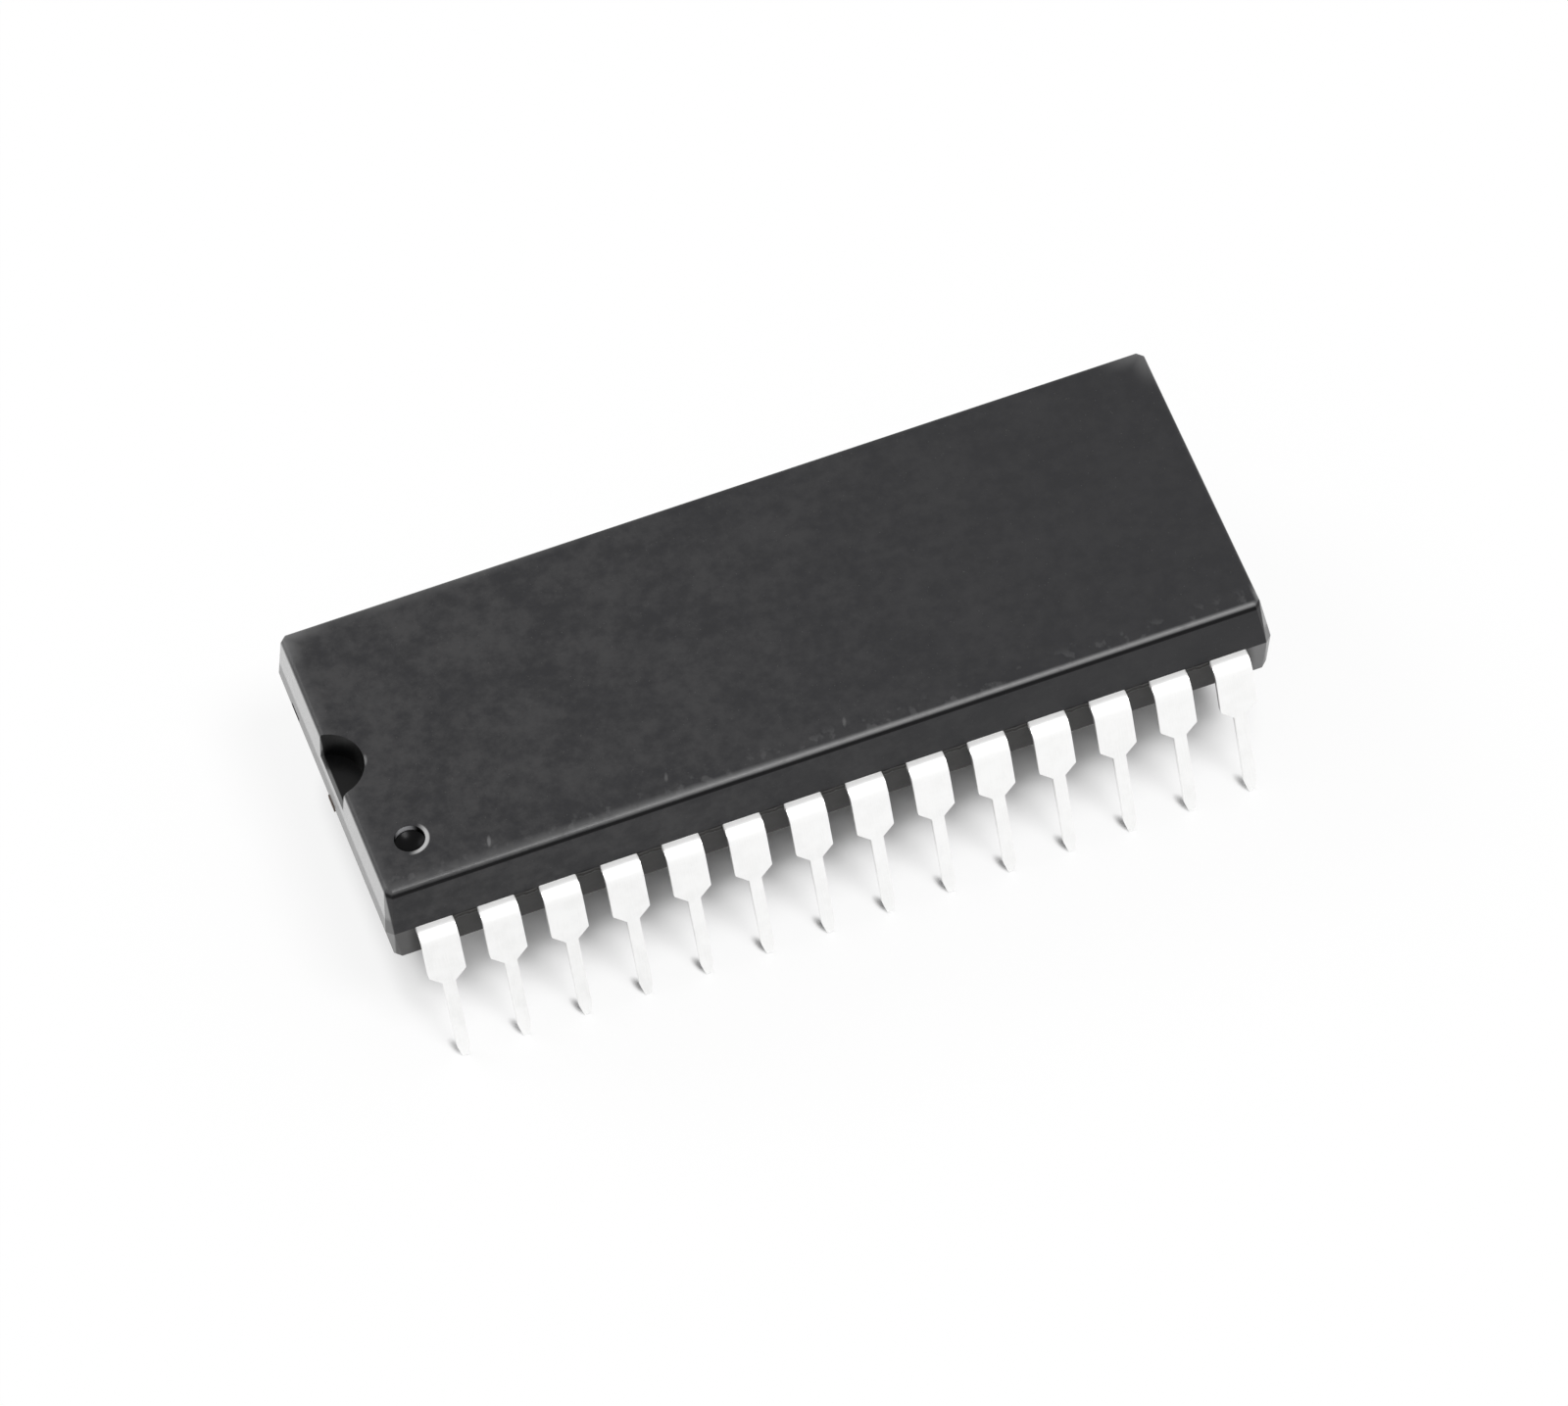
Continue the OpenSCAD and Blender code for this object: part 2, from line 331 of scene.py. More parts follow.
# Grids into meshes
# Rows run along a path and columns go round a section. The last column joins the first, and
# each end is closed by a fan round the middle of its row.
def closedTube(points):
    rows, columns = points.shape[:2]
    index = np.arange(rows * columns).reshape(rows, columns)
    nextColumn = np.roll(index, -1, axis=1)
    quads = np.stack([index[:-1], nextColumn[:-1], nextColumn[1:], index[1:]], axis=-1)
    count = rows * columns
    firstFan = np.stack([np.full(columns, count), nextColumn[0], index[0]], axis=-1)
    lastFan = np.stack([np.full(columns, count + 1), index[-1], nextColumn[-1]], axis=-1)
    ends = np.stack([points[0].mean(axis=0), points[-1].mean(axis=0)])
    corners = np.concatenate([points.reshape(-1, 3), ends])
    return corners, quads.reshape(-1, 4), np.concatenate([firstFan, lastFan])


sharpFrom = math.radians(38)   # faces that meet at more than this have a sharp edge


# One object from quads and triangles, in millimetres, with its place in its mesh
def makePiece(name, points, quads, triangles, material, slotName, along=None):
    mesh = bpy.data.meshes.new(name)
    loops = np.concatenate([quads.ravel(), triangles.ravel()]).astype(np.int32)
    sizes = np.concatenate([np.full(len(quads), 4), np.full(len(triangles), 3)])
    mesh.vertices.add(len(points))
    mesh.vertices.foreach_set("co", (points * mm).astype(np.float32).ravel())
    mesh.loops.add(len(loops))
    mesh.loops.foreach_set("vertex_index", loops)
    mesh.polygons.add(len(sizes))
    starts = np.concatenate([[0], np.cumsum(sizes)[:-1]]).astype(np.int32)
    mesh.polygons.foreach_set("loop_start", starts)
    mesh.update(calc_edges=True)
    mesh.validate()
    if along is not None:  # the piece's own map: round the section and along the path
        layer = mesh.uv_layers.new(name="along")
        layer.data.foreach_set("uv", along[loops].astype(np.float32).ravel())
    mesh.polygons.foreach_set("use_smooth", np.ones(len(sizes), dtype=bool))
    mesh.set_sharp_from_angle(angle=sharpFrom)
    mesh.materials.append(material)
    piece = bpy.data.objects.new(name, mesh)
    bpy.context.scene.collection.objects.link(piece)
    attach(piece, "root")


# Moulding compound
body = {
    # mm and degrees, as in the solids
    "length": 36.83, "width": 14.0, "draft": 6.5,
    "underside": 4.95, "parting": 6.95, "top": 9.3,
    "dimple": (-16.435, -4.55, 0.62, 0.34),    # x, y, radius, depth of its wall
    "dimpleTo": 1.0,                           # below the top face, deeper than its floor
    "notch": (1.55, 1.2),                      # radius, depth
    "ejectorMarks": (11.5, 1.3, 0.3),          # x, radius, more than their depth
    "gate": (4.6, 0.45, 0.18),                 # y, half width, half height
    "gateReach": (0.035, 0.4),                 # from the end of the body inwards
    "slack": 0.01,                             # how far a mark reaches past its hollow
    "skin": 0.012,                             # below the top face, where the hollows begin
    # resin: each noise has its scale, detail and roughness
    "dark": (0.0060, 0.0060, 0.0078, 1.0),
    "light": (0.0290, 0.0284, 0.0296, 1.0),
    "clouds": (0.42, 5.0, 0.60),
    "blotches": (1.9, 4.0, 0.62),
    "toneFrom": (0.36, 0.66),                  # noise that is all dark and all light
    "shade": (1.05, 0.30),                     # strength of the light tone, notched end and other
    "brown": (0.0120, 0.0105, 0.0085, 1.0),    # below the parting line and on the gate
    "brownPull": 0.7,
    "brownSoft": (0.02, -0.02),                # mm, its soft edge, from the parting line
    "speck": (0.085, 0.083, 0.080, 1.0),       # silica filler that shows as pale grains
    "speckPull": 0.45,
    "cells": 7.5,                              # in a mm, each has room for one grain
    "speckSize": (0.20, 0.10),                 # share of a cell, rim and core of a grain
    "pick": (5.0, 1.0, 0.55),
    "pickFrom": (0.58, 0.66),                  # noise where grains start to show and all show
    # wear of the top face and the edges below it, with painted highlights and painted shade
    "wear": (1.6, 5.0, 0.65),
    "topSoft": (-0.16, -0.07),                 # mm, its soft lower end, from the top face
    "frontFrom": (-0.8, -0.9),                 # share of the half width, where the front starts
    # pale colour of the rim, partly wear and partly a painted highlight; the other pale marks share
    # it
    "rim": (0.21, 0.21, 0.211, 1.0),
    "rimWidth": (0.78, 0.27),                  # mm, at the notched end and at the other
    "rimPull": (0.26, 0.97),                   # how strong it is there
    "rimChange": 0.25,                         # share of the half length, where the change ends
    "rimSoft": 0.9,                            # share of its width, or mm at the rear corners
    "rimWear": (0.20, 0.50, 0.62, 1.0),        # noise from and to, and the strength it leaves
    "notchEndFrom": (-0.2, -0.6),              # share of the half length, where it starts
    "notchEndPull": 0.55,
    "cornerHighlightFrom": (2.2, 0.2),                  # mm, painted highlights on the rear corners of the top face
    "cornerHighlightPull": 0.45,
    "dust": (2.4, 2.0, 0.5),
    "dustWay": (1.0, 0.8, 1.0),                # its flecks are a little longer across
    "dustPick": (0.56, 0.70),
    "dustFrom": (2.6, 0.2),                    # mm from the front edge
    "dustPull": 0.13,
    # corners below the parting line and beyond the end leads, made pale by painted light reflected
    # from the floor
    "stubFrom": (17.2, 17.7),                  # mm from the middle
    "stubPull": (0.30, 0.85),                  # notched end and other end
    "stubSoft": (0.02, -0.06),                 # mm, their upper edge, from the parting line
    "paintedShadeLine": (0.0025, 0.0025, 0.0030, 1.0),      # painted shade: a dark line below the rim
    "lipLower": (-0.40, -0.32),                # mm from the top face, its soft lower edge
    "lipUpper": (-0.14, -0.21),
    "lipPull": 0.9,
    "lipMatted": 0.85,
    "paleScuffAndGlint": (0.42, 0.42, 0.42, 1.0),
    # x, y, half length, half width in mm and strength of single rub marks on the top face; the last
    # is a painted glint on the notch's rim
    "scuffsAndGlint": ((-13.61, -5.88, 0.30, 0.085, 0.22), (-6.22, -5.65, 0.26, 0.09, 0.13),
               (1.09, -5.87, 0.26, 0.09, 0.13), (-16.86, -0.30, 0.30, 0.08, 0.30)),
    "scuffLean": (0.25, 0.97),
    "scuffFray": 0.9,                          # how much the wear frays their outline
    "scuffSoft": (1.15, 0.25),                 # share of their half size, end and core
    # polished parts
    "endSoft": (-0.04, 0.03),                  # mm, from the end of the top face outwards
    "markSoft": (0.02, -0.04),                 # mm, from the radius of an ejector mark
    "frost": (0.145, 0.145, 0.145, 1.0),       # painted light on the ends, a pale colour
    "endLightPull": 0.9,
    "band": 0.28,                              # sheen of the ends just above the parting line
    "bandFrom": (7.55, 7.85),                  # mm high, where the full sheen starts
    "hollowShade": (0.0020, 0.0020, 0.0022, 1.0),   # painted shade in the dimple and notch
    "dimpleMatted": 0.8,
    "notchMatted": 0.5,
    "paintedWallHighlight": (0.55, 0.55, 0.57, 1.0),           # painted highlight on the dimple's wall
    "wallSoft": (0.0, 0.12),                   # mm, from the foot of the wall upwards
    "wallTowards": (-0.10, 0.99),              # the side of it, as (x, y)
    "wallReach": (0.55, 0.98),                 # share of the radius that way, start and full
    "paintedLipHighlight": (0.44, 0.44, 0.44, 1.0),        # painted highlight on the dimple's lip
    "lipTowards": (0.85, -0.53),
    "lipReach": (0.15, 0.96),
    "lipOut": (0.06, 0.13, 0.05),              # mm, its middle from the edge, its end, its core
    # surface
    "roughness": 0.50,
    "roughnessBy": {"blotch": 0.16, "rim": -0.14, "polished": -0.20, "specks": 0.08, "gate": 0.30},
    "fine": (13.0, 4.0, 0.7),
    "pits": (4.2, 3.0, 0.55),
    "heights": (0.6, 0.6),                     # of the fine grains and the pits
    "flatter": 0.8,                            # share that the polished parts lose of it
    "grain": 0.006,                            # mm, height of the eroded texture
    "gloss": {"Coat Roughness": 0.2, "Coat IOR": 2.3, "IOR": 1.5, "Specular IOR Level": 0.37},
}


# Half length and half width of the top face, which the draft makes smaller
def topHalves(plan):
    draftIn = (plan["top"] - plan["parting"]) * math.tan(math.radians(plan["draft"]))
    return plan["length"] / 2 - draftIn, plan["width"] / 2 - draftIn


# Resin mottled by two noises, darker towards the plain end, browner below the parting line
# and dotted with grains of filler
def mottledResin(bench, plan, place, x, z):
    halfX = plan["length"] / 2
    clouds, blotch = bench.noise(place, *plan["clouds"]), bench.noise(place, *plan["blotches"])
    tone = bench.fade(clouds * 0.5 + blotch * 0.5, *plan["toneFrom"])
    tone = tone * bench.fade(x, -halfX, halfX, *plan["shade"])
    colour = bench.blend(tone, plan["dark"], plan["light"])
    lower = bench.fadeAt(z, plan["parting"], plan["brownSoft"])
    colour = bench.blend(lower * plan["brownPull"], colour, plan["brown"])
    grains, pick = bench.cells(place, plan["cells"]), bench.noise(place, *plan["pick"])
    specks = bench.fade(grains, *plan["speckSize"]) * bench.fade(pick, *plan["pickFrom"])
    return bench.blend(specks * plan["speckPull"], colour, plan["speck"]), blotch, specks


# Wear and painted light: a pale rim along the front and the notched end, partly rubbed and partly a
# painted highlight of the edge, which narrows and strengthens away from the notch, painted highlights
# on the rear corners, dust near the front edge, painted light on the lower corners beyond the end
# leads, a painted shade line below the rim, single rub marks and a painted glint
def wearAndPaintedLight(bench, plan, colour, place, x, y, z):
    halfX, halfY, top = plan["length"] / 2, plan["width"] / 2, plan["top"]
    topX, topY = topHalves(plan)
    edgeX, edgeY = topX - abs(x), topY - abs(y)    # mm from the rim of the top face
    inwards = edgeX.least(edgeY)
    wear = bench.noise(place, *plan["wear"])
    onTop = bench.fadeAt(z, top, plan["topSoft"])
    front = bench.fade(y, *(halfY * share for share in plan["frontFrom"]))

    along = bench.fade(x, -halfX, halfX * plan["rimChange"])
    rimWidth, rimPull = (first + along * (last - first)
                         for first, last in (plan["rimWidth"], plan["rimPull"]))
    notchEnd = bench.fade(x, *(halfX * share for share in plan["notchEndFrom"]))
    # painted highlight along the front edge and the notched end, partly rubbed, frayed by the wear
    # noise
    rim = (onTop * bench.fade(inwards / rimWidth, plan["rimSoft"], 0.0)
           * front.most(notchEnd * plan["notchEndPull"]) * bench.fade(wear, *plan["rimWear"]))
    colour = bench.blend(rim * rimPull, colour, plan["rim"])
    # painted highlight on the rear corners of the top face
    corner = (bench.fade(distance(edgeX.most(0.0), edgeY.most(0.0)), *plan["cornerHighlightFrom"])
              * (y > 0) * onTop * bench.fade(inwards, plan["rimSoft"], 0.0))
    colour = bench.blend(corner * plan["cornerHighlightPull"], colour, plan["rim"])

    flecks = bench.noise(bench.scaled(place, plan["dustWay"]), *plan["dust"])
    dust = bench.fade(flecks, *plan["dustPick"]) * bench.fade(edgeY, *plan["dustFrom"])
    colour = bench.blend(dust * front * onTop * plan["dustPull"], colour, plan["rim"])
    # painted light reflected from the floor on the lower corners beyond the end leads
    below = bench.fadeAt(z, plan["parting"], plan["stubSoft"])
    paintedStubLight = below * bench.fade(abs(x), *plan["stubFrom"]) * bench.fade(x, -1.0, 1.0, *plan["stubPull"])
    colour = bench.blend(paintedStubLight, colour, plan["rim"])
    # painted shade: a dark line on the front side just below the rim
    paintedShadeLine = bench.fadeAt(z, top, plan["lipLower"]) * bench.fadeAt(z, top, plan["lipUpper"]) * front
    colour = bench.blend(paintedShadeLine * plan["lipPull"], colour, plan["paintedShadeLine"])

    # rub marks, and a painted glint on the notch's rim
    for markX, markY, halfLong, halfWide, strength in plan["scuffsAndGlint"]:
        outline = ellipse(x - markX, y - markY, plan["scuffLean"], halfLong, halfWide)
        mark = bench.fade(outline + (wear - 0.5) * plan["scuffFray"], *plan["scuffSoft"])
        colour = bench.blend(mark * onTop * strength, colour, plan["paleScuffAndGlint"])
    return colour, rim, paintedShadeLine, onTop


# The ends, the dimple, the notch and the ejector marks come off polished steel. The ends have a pale
# painted light, the hollows have painted shade, and the dimple's wall and lip have a painted
# highlight on one side each. Matted is how much of the sheen the hollows lose, which adds to their
# painted shade.
def polishedParts(bench, plan, colour, onTop, x, y, z):
    halfX, top, slack = plan["length"] / 2, plan["top"], plan["slack"]
    ends = bench.fadeAt(abs(x), topHalves(plan)[0], plan["endSoft"])
    dimpleX, dimpleY, dimpleR, dimpleH = plan["dimple"]
    aside, ahead = x - dimpleX, y - dimpleY
    fromDimple = distance(aside, ahead)
    belowTop = z < top - plan["skin"]
    dimple = (fromDimple < dimpleR + 2 * slack) * belowTop * (z > top - plan["dimpleTo"])
    notchR, notchH = plan["notch"]
    notch = ((distance(x + halfX, y) < notchR + slack) * belowTop
             * (z > top - notchH - slack) * (x > 2 * slack - halfX))
    markX, markR, markH = plan["ejectorMarks"]
    marks = (bench.fadeAt(distance(abs(x) - markX, y), markR, plan["markSoft"])
             * (z < plan["underside"] + markH))
    polished = ends.most(dimple).most(notch).most(marks)

    # painted light: the ends are made pale
    colour = bench.blend(ends * plan["endLightPull"], colour, plan["frost"])
    # painted shade: the dimple and the notch are made near black
    colour = bench.blend(dimple.most(notch), colour, plan["hollowShade"])
    wallWay, lipWay = (
        bench.fade((aside * plan[way][0] + ahead * plan[way][1]) / dimpleR, *plan[reach])
        for way, reach in (("wallTowards", "wallReach"), ("lipTowards", "lipReach")))
    # painted highlight on the lit side of the dimple's wall
    wallHighlightMask = dimple * bench.fadeAt(z, top - dimpleH, plan["wallSoft"]) * wallWay
    colour = bench.blend(wallHighlightMask, colour, plan["paintedWallHighlight"])
    lipMiddle, lipEnd, lipCore = plan["lipOut"]
    # painted highlight on one side of the dimple's lip
    paintedLipHighlight = bench.fade(abs(fromDimple - dimpleR - lipMiddle), lipEnd, lipCore) * onTop * lipWay
    colour = bench.blend(paintedLipHighlight, colour, plan["paintedLipHighlight"])
    matted = ((dimple - wallHighlightMask).most(0.0) * plan["dimpleMatted"]).most(notch * plan["notchMatted"])
    return colour, ends, polished, matted


# The whole finish of the body: resin, wear with painted light and shade, polished parts, gate and
# eroded texture
def makeCompound(plan):
    bench = newBench("moulding compound")
    place = bench.place()
    x, y, z = bench.axes(place)
    colour, blotch, specks = mottledResin(bench, plan, place, x, z)
    colour, rim, paintedShadeLine, onTop = wearAndPaintedLight(bench, plan, colour, place, x, y, z)
    colour, ends, polished, matted = polishedParts(bench, plan, colour, onTop, x, y, z)

    # the broken gate is dark and rough
    gateY, gateWide, gateHigh = plan["gate"]
    gateStart, gateEnd = (reach - plan["length"] / 2 for reach in plan["gateReach"])
    near = 2 * plan["slack"]
    gate = ((abs(y - gateY) < gateWide + near) * (abs(z - plan["parting"]) < gateHigh + near)
            * (x < gateEnd) * (x > gateStart))
    colour = bench.blend(gate, colour, plan["brown"])

    # eroded texture: fine grains on soft larger pits, hardly any on the polished parts
    fine, pits = bench.noise(place, *plan["fine"]), bench.noise(place, *plan["pits"])
    fineHeight, pitHeight = plan["heights"]
    height = (fine * fineHeight + pits * pitHeight) * (1 - polished * plan["flatter"])
    by = plan["roughnessBy"]
    roughness = (plan["roughness"] + (blotch - 0.5) * by["blotch"] + rim * by["rim"]
                 + polished * by["polished"] + specks * by["specks"] + gate * by["gate"])
    sheen = ends * (1 - gate) * bench.fade(z, *plan["bandFrom"], plan["band"], 1.0)
    # dark and metallic takes the sheen away from the hollows and from the line below the rim, as
    # painted shade
    return bench.finish({
        "Base Color": colour, "Roughness": roughness, "Coat Weight": sheen,
        "Metallic": matted.most(paintedShadeLine * plan["lipMatted"]),
        "Normal": bench.bump(height, plan["grain"]), **plan["gloss"],
    })


compound = makeCompound(body)
print("moulding compound made")


# Metals
tin = {
    "bright": (0.99, 0.99, 0.985, 1.0),
    "dull": (0.945, 0.945, 0.938, 1.0),
    "streaks": (26.0, 0.9, 1.0),     # in a mm, round the strip and along it
    "crazing": (1.6, 22.0, 1.0),
    "patches": (1.3, 4.0, 0.6),      # scale, detail and roughness of a noise
    "crystals": (16.0, 3.0, 0.6),
    "dullShares": (0.45, 0.55),      # of the streaks and the patches
    "dullFrom": (0.40, 0.66),
    "crazedFrom": (0.50, 0.68),
    "crazedPull": 0.8,
    "matteRoot": (0.30, -0.02),      # mm along the lead from where its bend starts
    "matteBy": 0.9,                  # how much less metallic it is there
    "bend": (0.5, 0.75, 0.25),       # mm along it, the middle, the end and the core of the bend
    "roughness": 0.30,
    "roughnessBy": {"dulled": 0.14, "crystals": 0.12, "bent": 0.05},
    "heights": (0.5, 0.5, 0.6),      # of the crystals, the streaks and the crazing
    "grain": 0.0022,                 # mm
}


# Satin tin over the stamped strip: fine grains, streaks along the strip, duller patches
# where handling rubbed it and fine crazing where the strip was bent.
def makeTin(plan):
    bench = newBench("tin plating")
    place = bench.place()
    flat = bench.add("ShaderNodeUVMap", {"uv_map": "along"})
    run = bench.axes(flat)[1]
    streaks = bench.noise(bench.scaled(flat, plan["streaks"]), 1.0, 4.0, 0.6)
    crazing = bench.noise(bench.scaled(flat, plan["crazing"]), 1.0, 3.0, 0.6)
    patches = bench.noise(place, *plan["patches"])
    crystals = bench.noise(place, *plan["crystals"])
    bendMiddle, bendEnd, bendCore = plan["bend"]
    bent = bench.fade(abs(run - bendMiddle), bendEnd, bendCore)
    streakShare, patchShare = plan["dullShares"]
    dulled = bench.fade(streaks * streakShare + patches * patchShare, *plan["dullFrom"])
    crazed = bent * bench.fade(crazing, *plan["crazedFrom"]) * plan["crazedPull"]
    by = plan["roughnessBy"]
    roughness = (plan["roughness"] + dulled * by["dulled"] + (crystals - 0.5) * by["crystals"]
                 + bent * by["bent"])
    matte = bench.fade(run, *plan["matteRoot"])   # the root is matte white beside the moulding
    crystalHeight, streakHeight, crazingHeight = plan["heights"]
    height = crystals * crystalHeight + streaks * streakHeight + bent * crazing * crazingHeight
    return bench.finish({
        "Base Color": bench.blend(dulled.most(crazed), plan["bright"], plan["dull"]),
        "Metallic": 1 - matte * plan["matteBy"], "Roughness": roughness, "IOR": 1.5,
        "Normal": bench.bump(height, plan["grain"]),
    })


strip = {
    "copper": (0.64, 0.36, 0.22, 1.0),
    "tarnish": (0.40, 0.21, 0.13, 1.0),
    "silver": (0.86, 0.86, 0.84, 1.0),
    "cutEnd": (0.10, 0.075, 0.06, 1.0),
    "rolled": (14.0, 0.8, 3.0),   # streaks in a mm along x, y and z
    "stain": (0.9, 4.0, 0.6),     # scale, detail and roughness of a noise
    "frost": (12.0, 3.0, 0.6),
    "stainShares": (0.6, 0.4),    # of the stain and the streaks, in the tarnish
    "tarnishFrom": (0.38, 0.64),
    "silverTo": (6.4, 5.0),       # mm from the middle, where the silver round the die ends
    "silverSoft": (0.0, -0.15),   # mm, from there
    "cutFrom": (18.30, 18.36),    # mm from the middle, sheared ends of the tie bars
    "tinFrom": 6.85,              # mm across, where a lead stands outside
    "roughness": 0.34,
    "roughnessBy": {"rolled": 0.14, "silver": 0.12},
    "heights": (0.6, 0.4),        # of the streaks and the frost
    "grain": 0.002,               # mm
}


# Rolled copper alloy, silver in a spot round the die, and tin on what stands outside
def makeStrip(plan, name, tinned):
    bench = newBench(name)
    place = bench.place()
    x, y = bench.axes(place)[:2]
    rolled = bench.noise(bench.scaled(place, plan["rolled"]), 1.0, 4.0, 0.6)
    stain, frost = bench.noise(place, *plan["stain"]), bench.noise(place, *plan["frost"])
    stainShare, rolledShare = plan["stainShares"]
    tarnished = bench.fade(stain * stainShare + rolled * rolledShare, *plan["tarnishFrom"])
    colour = bench.blend(tarnished, plan["copper"], plan["tarnish"])
    silverX, silverY = (bench.fadeAt(abs(way), end, plan["silverSoft"])
                        for way, end in zip((x, y), plan["silverTo"]))
    silver = silverX * silverY
    colour = bench.blend(silver, colour, plan["silver"])
    colour = bench.blend(bench.fade(abs(x), *plan["cutFrom"]), colour, plan["cutEnd"])
    if tinned:
        colour = bench.blend(abs(y) > plan["tinFrom"], colour, tin["bright"])
    by = plan["roughnessBy"]
    roughness = plan["roughness"] + rolled * by["rolled"] + silver * by["silver"]
    rolledHeight, frostHeight = plan["heights"]
    height = rolled * rolledHeight + frost * frostHeight
    return bench.finish({
        "Base Color": colour, "Metallic": 1.0, "Roughness": roughness, "IOR": 1.5,
        "Normal": bench.bump(height, plan["grain"]),
    })


epoxy = {
    "resin": (0.50, 0.50, 0.48, 1.0),
    "flake": (0.72, 0.72, 0.70, 1.0),
    "flakes": 24.0,               # in a mm
    "paleFrom": (0.35, 0.8),      # shade of a flake that is all resin and all silver
    "metalFrom": (0.5, 0.7, 0.2, 0.8),    # shades, and how metallic they are
    "roughness": (0.38, 0.2),     # of the darkest, and how much the palest has more
    "grain": 0.004,               # mm
}


# Silver flakes in resin: each cell of the pattern is a flake with its own shade
def makeEpoxy(plan):
    bench = newBench("silver filled epoxy")
    shade = bench.axes(bench.cells(bench.place(), plan["flakes"], output="Color"))[0]
    return bench.finish({
        "Base Color": bench.blend(bench.fade(shade, *plan["paleFrom"]), plan["resin"], plan["flake"]),
        "Metallic": bench.fade(shade, *plan["metalFrom"]),
        "Roughness": plan["roughness"][0] + shade * plan["roughness"][1],
        "Normal": bench.bump(shade, plan["grain"]),
    })


silicon = {
    "films": ((0.0, (0.10, 0.11, 0.16, 1)), (0.5, (0.16, 0.13, 0.20, 1)),
              (1.0, (0.12, 0.17, 0.18, 1))),
    "line": (0.30, 0.29, 0.30, 1.0),
    "linePull": 0.5,
    "lineSoft": (0.05, 0.02),     # end and core of a line
    "blocks": (1.3, 0.55),        # in a mm, and how uneven
    "lines": (5.0, 0.3),
    "metallic": 0.55,
    "roughness": (0.14, 0.08),    # of the darkest block, and how much the palest has more
}


# Polished silicon with thin films laid out in plain blocks and fine lines between them
def makeSilicon(plan):
    bench = newBench("silicon")
    place = bench.place()
    blocks, lines = (dict(zip(("Scale", "Randomness"), plan[key])) for key in ("blocks", "lines"))
    cells = bench.add("ShaderNodeTexVoronoi", {"feature": "F1", "distance": "CHEBYCHEV"},
                      {"Vector": place, **blocks}, "Color")
    shade = bench.axes(cells)[0]
    fromSeam = bench.add("ShaderNodeTexVoronoi", {"feature": "DISTANCE_TO_EDGE"},
                         {"Vector": place, **lines}, "Distance")
    seam = bench.fade(fromSeam, *plan["lineSoft"])
    film = bench.add("ShaderNodeValToRGB", {"stops": plan["films"]}, {0: shade})
    return bench.finish({
        "Base Color": bench.blend(seam * plan["linePull"], film, plan["line"]),
        "Metallic": plan["metallic"], "IOR": 3.4,
        "Roughness": plan["roughness"][0] + shade * plan["roughness"][1],
    })


gold = {
    "bright": (0.90, 0.62, 0.20, 1.0),
    "dull": (0.78, 0.50, 0.15, 1.0),
    "drawn": (9.0, 9.0, 30.0),    # streaks in a mm along x, y and z
    "dullFrom": (0.35, 0.65),
    "roughness": (0.2, 0.12),     # of a bright streak, and how much a dull one has more
    "grain": 0.0006,              # mm
}


# Gold drawn through a die, with streaks
def makeGold(plan):
    bench = newBench("bond gold")
    drawn = bench.noise(bench.scaled(bench.place(), plan["drawn"]), 1.0, 3.0, 0.6)
    dulled = bench.fade(drawn, *plan["dullFrom"])
    return bench.finish({
        "Base Color": bench.blend(dulled, plan["bright"], plan["dull"]),
        "Metallic": 1.0, "Roughness": plan["roughness"][0] + drawn * plan["roughness"][1],
        "Normal": bench.bump(drawn, plan["grain"]),
    })


tinPlating = makeTin(tin)
finishes = {
    "moulded_body": compound,
    "die_paddle": makeStrip(strip, "paddle copper", False),
    "die_attach": makeEpoxy(epoxy),
    "silicon_die": makeSilicon(silicon),
    "bond_wires": makeGold(gold),
}
leadStrip = makeStrip(strip, "lead strip", True)
for name, solid in nodes.items():
    solid.data.materials.clear()
    solid.data.materials.append(finishes.get(name, leadStrip))
print("finishes made")


# Tin on the leads
lead = {
    "pitch": 2.54, "perSide": 14, "thickness": 0.25,
    "splay": 9.0,                             # degrees
    "bendRadius": 0.4,
    "bendAcross": 7.095, "bendHigh": 6.3,     # mm, centre of the bend
    "start": 6.94,                            # just inside the body's side
    "shoulder": 1.52, "pin": 0.5, "tip": 0.24,    # widths
    "shoulderLength": 2.190, "stepLength": 0.5, "legLength": 6.442, "tipLength": 0.55,
    "plating": 0.014,
    "rolledEdge": 0.075, "cutEdge": 0.035,    # edge radii on the outer and inner face
    "bareTip": 0.05,                          # bare stretch at the end
    "soft": 0.05,                             # mm, how far its outline's corners are softened
    "close": (0.1, 0.08),                     # mm round a corner of the outline with close rows
    "mapShift": 3.7,                          # so that each lead has its own streaks
}


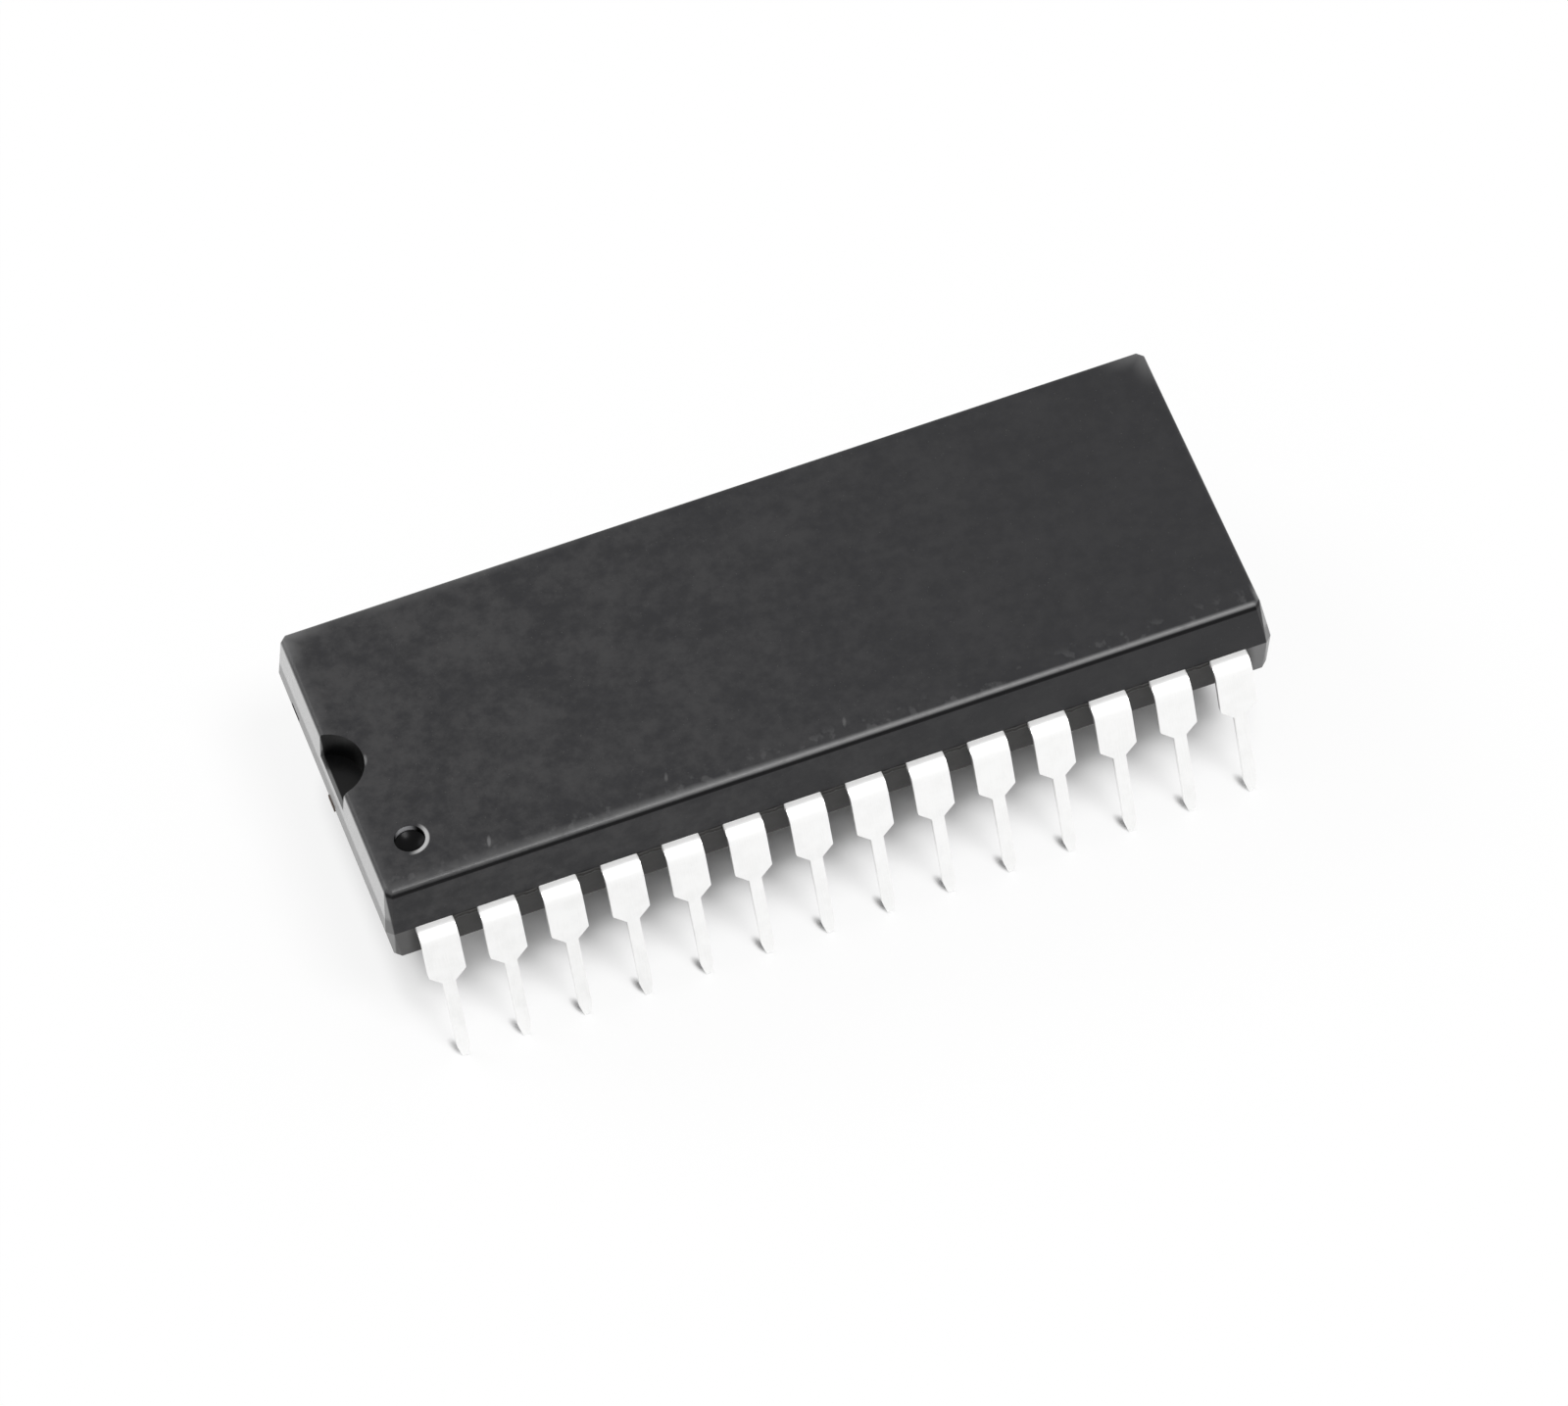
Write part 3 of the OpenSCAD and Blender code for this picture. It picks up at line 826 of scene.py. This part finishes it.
# Middle line of the strip seen from its end: a straight run out of the body, a quarter
# bend less the splay, and the straight leg. Gives the place, the outward direction and the
# length along the strip, zero where the bend starts.
def stripPath(plan):
    middle = plan["bendRadius"] + plan["thickness"] / 2
    splay = math.radians(plan["splay"])
    straight = np.linspace(plan["start"], plan["bendAcross"], 3)[:-1]
    angles = np.linspace(math.pi / 2, splay, 15)
    # rows down the leg: from, to and how many, closer together round the corners
    shoulder, near = plan["shoulderLength"], plan["close"][0]
    step = shoulder - plan["stepLength"]
    tipStart = plan["legLength"] - plan["tipLength"] - plan["close"][1]
    runs = ((0, step - near, 9), (step - near, step + near, 7), (step + near, shoulder - near, 5),
            (shoulder - near, shoulder + near, 7), (shoulder + near, tipStart, 12),
            (tipStart, plan["legLength"] - plan["bareTip"], 12))
    leg = np.unique(np.concatenate([np.linspace(*stretch) for stretch in runs]))[1:]
    centre = np.array([plan["bendAcross"], plan["bendHigh"]])
    up = np.array([0.0, 1.0])
    lean = np.array([math.cos(splay), math.sin(splay)])
    downLeg = np.array([math.sin(splay), -math.cos(splay)])
    bend = np.stack([np.cos(angles), np.sin(angles)], axis=1)
    place = np.concatenate([
        np.stack([straight, np.full(2, plan["bendHigh"] + middle)], axis=1),
        centre + bend * middle,
        centre + lean * middle + leg[:, None] * downLeg])
    outward = np.concatenate([np.tile(up, (2, 1)), bend, np.tile(lean, (len(leg), 1))])
    bendLength = middle * (math.pi / 2 - splay)
    run = np.concatenate([straight - plan["bendAcross"], (math.pi / 2 - angles) * middle,
                          bendLength + leg])
    return place, outward, run, bendLength


# Half width of the strip at each length: shoulder, sloped step, pin and pointed tip, with
# its corners softened by the mean of three nearby places.
def halfWidth(plan, run, bendLength):
    stops = bendLength + np.array([
        plan["shoulderLength"] - plan["stepLength"], plan["shoulderLength"],
        plan["legLength"] - plan["tipLength"], plan["legLength"]])
    widths = np.array([plan["shoulder"], plan["pin"], plan["pin"], plan["tip"]])
    spread = np.array([-plan["soft"], 0.0, plan["soft"]])
    return np.interp(run[:, None] + spread, stops, widths).mean(axis=1) / 2


# Rounded section: four quarter circles whose centres keep the radius away from the sides.
# The outer face has the larger radius that stamping rolls over.
def roundedSection(half, thick, outerRadius, innerRadius, steps=5):
    turns = np.concatenate([np.linspace(q * 90, q * 90 + 90, steps) for q in range(4)])
    angle = np.radians(turns)
    corner = np.repeat(np.array([(1, 1), (-1, 1), (-1, -1), (1, -1)]), steps, axis=0)
    radius = np.where(corner[:, 1] > 0, outerRadius, innerRadius)
    across = corner[:, 0] * (half[:, None] - radius) + radius * np.cos(angle)
    deep = corner[:, 1] * (thick - radius) + radius * np.sin(angle)
    return across, np.broadcast_to(deep, across.shape)


# Each skin is the rounded section carried along the strip's middle line, its width along x
# and its thickness along the outward direction. The front row is one skin moved by whole
# pitches, and the rear row is its mirror image, numbered back from the far end.
def makeLeadTin(plan, material):
    place, outward, run, bendLength = stripPath(plan)
    half = halfWidth(plan, run, bendLength) + plan["plating"]
    across, deep = roundedSection(half, plan["thickness"] / 2 + plan["plating"],
                                  plan["rolledEdge"], plan["cutEdge"])
    y = place[:, None, 0] + deep * outward[:, None, 0]
    z = place[:, None, 1] + deep * outward[:, None, 1]
    side = np.stack([across, -y, z], axis=-1)      # one lead of the front row, at x = 0
    points, quads, fans = closedTube(side)
    around = np.broadcast_to(across, side.shape[:2])
    lengths = np.broadcast_to(run[:, None], side.shape[:2])
    along = np.stack([around.ravel(), lengths.ravel()], axis=1)
    along = np.concatenate([along, [[0, run[0]], [0, run[-1]]]])
    for number in range(1, 2 * plan["perSide"] + 1):
        front = number <= plan["perSide"]
        column = number if front else 2 * plan["perSide"] + 1 - number
        shift = (column - (plan["perSide"] + 1) / 2) * plan["pitch"]
        moved = points * np.array([1, 1 if front else -1, 1]) + np.array([shift, 0, 0])
        turned = (quads, fans) if front else (quads[:, ::-1], fans[:, ::-1])
        ownMap = along + np.array([number * plan["mapShift"], 0])
        makePiece("lead_%02d_tin" % number, moved, *turned, material, "tinned_lead_frame", ownMap)
    return len(points)


print("tin on 28 leads,", makeLeadTin(lead, tinPlating), "points each")


# Resin left between the leads
flash = {
    "reach": 0.075,           # mm that it stands out of the side
    "ragged": 0.04,
    "waves": ((9, 1.0, 1.0), (21, 0.6, 2.3), (37, 0.4, 4.1)),    # how close, how high, shift
    "seedSteps": (1.7, 0.9),  # from gap to gap and from side to side, so that no two are alike
    "low": 6.715, "high": 6.935,
    "inside": 0.06,
    "overlap": 0.02,          # mm that it runs under the tin at each side of the gap
    "grid": (15, 14),         # rows across a gap and columns round its section
}


# Each web fills the gap between two leads at the parting line. Across the gap its outer
# edge is the mean reach plus three sine waves of unlike length, and its section is a
# rounded lip: half an ellipse from the lower to the upper face.
def makeFlash(plan, bodyPlan, leadPlan, material):
    tinned = leadPlan["shoulder"] + 2 * leadPlan["plating"]
    gap = leadPlan["pitch"] - tinned + 2 * plan["overlap"]
    rows, columns = plan["grid"]
    turn = np.linspace(-math.pi / 2, math.pi / 2, columns - 2)
    share = np.linspace(-0.5, 0.5, rows)
    gapStep, sideStep = plan["seedSteps"]
    middle = (plan["low"] + plan["high"]) / 2
    halfHigh = (plan["high"] - plan["low"]) / 2
    high = np.concatenate([[-halfHigh], halfHigh * np.sin(turn), [halfHigh]]) + middle
    sideY = bodyPlan["width"] / 2
    allPoints, allQuads, allFans, used = [], [], [], 0
    for side in (-1, 1):
        for gapNumber in range(leadPlan["perSide"] - 1):
            seed = gapNumber * gapStep + side * sideStep
            x = (gapNumber + 1 - leadPlan["perSide"] / 2) * leadPlan["pitch"] + share * gap
            waves = sum(tall * np.sin(share * often + shift * seed)
                        for often, tall, shift in plan["waves"]) / 2
            out = np.full((rows, columns), -plan["inside"])
            out[:, 1:-1] = (plan["reach"] + plan["ragged"] * waves)[:, None] * np.cos(turn)
            grid = np.stack([np.broadcast_to(x[:, None], out.shape), side * (sideY + out),
                             np.broadcast_to(high, out.shape)], axis=-1)
            points, quads, fans = closedTube(grid)
            if side < 0:    # mirrored, so its faces are turned back outwards
                quads, fans = quads[:, ::-1], fans[:, ::-1]
            allPoints.append(points)
            allQuads.append(quads + used)
            allFans.append(fans + used)
            used += len(points)
    makePiece("resin_flash", np.concatenate(allPoints), np.concatenate(allQuads),
              np.concatenate(allFans), material, "moulding_compound")


makeFlash(flash, body, lead, compound)
print("resin between the leads made")
